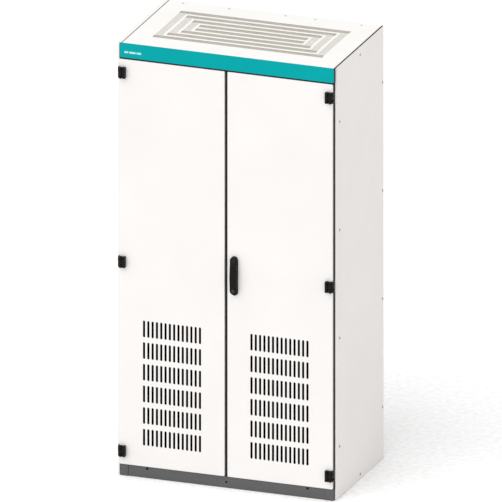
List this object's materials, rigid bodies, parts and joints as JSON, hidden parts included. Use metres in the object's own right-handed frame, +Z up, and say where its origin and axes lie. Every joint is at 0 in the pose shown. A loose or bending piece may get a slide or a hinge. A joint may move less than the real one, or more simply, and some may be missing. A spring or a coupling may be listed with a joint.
{
  "type": "variable frequency drive cabinet",
  "caption": "Free-standing drive cabinet: two vented steel doors on outside hinges, a swing handle with lock rods, and a converter module, fan, line reactor and switchgear inside.",
  "frame": {"origin": "on the floor, under the middle of the box that the whole cabinet fills", "axes": "+Z up, the cabinet's longest side; the doors face -Y; +Y runs through the shortest side, front to back; +X is to the right of somebody facing the doors"},
  "size_m": [1.018, 0.634, 2],
  "materials": {
    "paint": "light grey powder coat, fine orange peel",
    "header": "teal, satin",
    "plinth": "dark grey powder coat",
    "galvanised": "galvanised steel sheet",
    "hinge": "black, satin",
    "handle": "black glass-filled nylon",
    "lock_steel": "zinc-plated steel",
    "gasket": "foamed seal",
    "filter": "dark synthetic fleece",
    "copper": "bare copper",
    "drive_cover": "dark grey, satin",
    "heat_sink": "extruded aluminium",
    "fan_plastic": "black moulded plastic",
    "capacitor": "sleeved cans on a board",
    "core": "varnished laminations",
    "winding": "varnished copper winding",
    "device": "dark grey moulded plastic",
    "switch_red": "red moulded plastic",
    "light_plastic": "light grey moulded plastic"
  },
  "bodies": {
    "cabinet": {"post_front_left": "galvanised", "post_front_right": "galvanised", "post_rear_left": "galvanised", "post_rear_right": "galvanised", "bottom_frame": "galvanised", "top_frame": "galvanised", "plinth_front": "plinth", "plinth_rear": "plinth", "plinth_left": "plinth", "plinth_right": "plinth", "side_panel_left": "paint", "side_panel_right": "paint", "rear_panel": "paint", "header_strip": "header", "roof_panel": "paint", "floor_plate_front": "galvanised", "floor_plate_rear": "galvanised", "hinge_bracket_left_bottom": "hinge", "hinge_bracket_left_middle": "hinge", "hinge_bracket_left_top": "hinge", "hinge_bracket_right_bottom": "hinge", "hinge_bracket_right_middle": "hinge", "hinge_bracket_right_top": "hinge", "mounting_plate": "galvanised", "earth_bar": "copper", "drive_chassis": "galvanised", "drive_cover": "drive_cover", "heat_sink": "heat_sink", "capacitor_bank": "capacitor", "fan_housing": "fan_plastic", "reactor_core": "core", "reactor_coil_left": "winding", "reactor_coil_middle": "winding", "reactor_coil_right": "winding", "main_switch": "device", "line_contactor": "device", "control_unit": "light_plastic", "terminal_strip": "light_plastic"},
    "left_leaf": {"left_door": "paint", "left_door_gasket": "gasket", "left_filter_mat": "filter", "hinge_leaf_left_bottom": "hinge", "hinge_leaf_left_middle": "hinge", "hinge_leaf_left_top": "hinge"},
    "right_leaf": {"right_door": "paint", "right_door_gasket": "gasket", "right_filter_mat": "filter", "hinge_leaf_right_bottom": "hinge", "hinge_leaf_right_middle": "hinge", "hinge_leaf_right_top": "hinge", "handle_base": "handle", "lock_case": "galvanised"},
    "swivel": {"handle_hub": "handle", "lock_pinion": "lock_steel"},
    "lever": {"handle_lever": "handle"},
    "key_core": {"lock_cylinder": "lock_steel"},
    "upper_lock_rod": {"upper_rod": "lock_steel"},
    "lower_lock_rod": {"lower_rod": "lock_steel"},
    "switch_knob": {"main_switch_handle": "switch_red"},
    "fan_wheel": {"fan_impeller": "fan_plastic"}
  },
  "joints": [
    {"name": "left_door_hinge", "type": "hinge", "parent": "cabinet", "child": "left_leaf", "pos_m": [-0.4875, -0.301, 0.9875], "axis": [0, 0, -1], "range_deg": [0, 130]},
    {"name": "right_door_hinge", "type": "hinge", "parent": "cabinet", "child": "right_leaf", "pos_m": [0.4875, -0.301, 0.9875], "axis": [0, 0, 1], "range_deg": [0, 130]},
    {"name": "handle_swivel", "type": "hinge", "parent": "right_leaf", "child": "swivel", "pos_m": [0.04, -0.291, 1.06], "axis": [0, -1, 0], "range_deg": [0, 90]},
    {"name": "handle_tilt", "type": "hinge", "parent": "swivel", "child": "lever", "pos_m": [0.04, -0.304, 1.038], "axis": [-1, 0, 0], "range_deg": [0, 25]},
    {"name": "key_turn", "type": "hinge", "parent": "lever", "child": "key_core", "pos_m": [0.04, -0.301, 0.9205], "axis": [0, -1, 0], "range_deg": [0, 90]},
    {"name": "upper_rod_slide", "type": "slide", "parent": "right_leaf", "child": "upper_lock_rod", "axis": [0, 0, 1], "range_m": [-0.0202, 0]},
    {"name": "lower_rod_slide", "type": "slide", "parent": "right_leaf", "child": "lower_lock_rod", "axis": [0, 0, 1], "range_m": [0, 0.0202]},
    {"name": "main_switch_turn", "type": "hinge", "parent": "cabinet", "child": "switch_knob", "pos_m": [-0.3, 0.1252, 1.6], "axis": [0, -1, 0], "range_deg": [-90, 0]},
    {"name": "fan_spin", "type": "hinge", "parent": "cabinet", "child": "fan_wheel", "pos_m": [0.2, 0.074, 0.605], "axis": [0, 0, 1], "continuous": true}
  ],
  "couplings": [
    {"joint": "upper_rod_slide", "follows": "handle_swivel", "m_per_rad": -0.0128},
    {"joint": "lower_rod_slide", "follows": "handle_swivel", "m_per_rad": 0.0128}
  ]
}
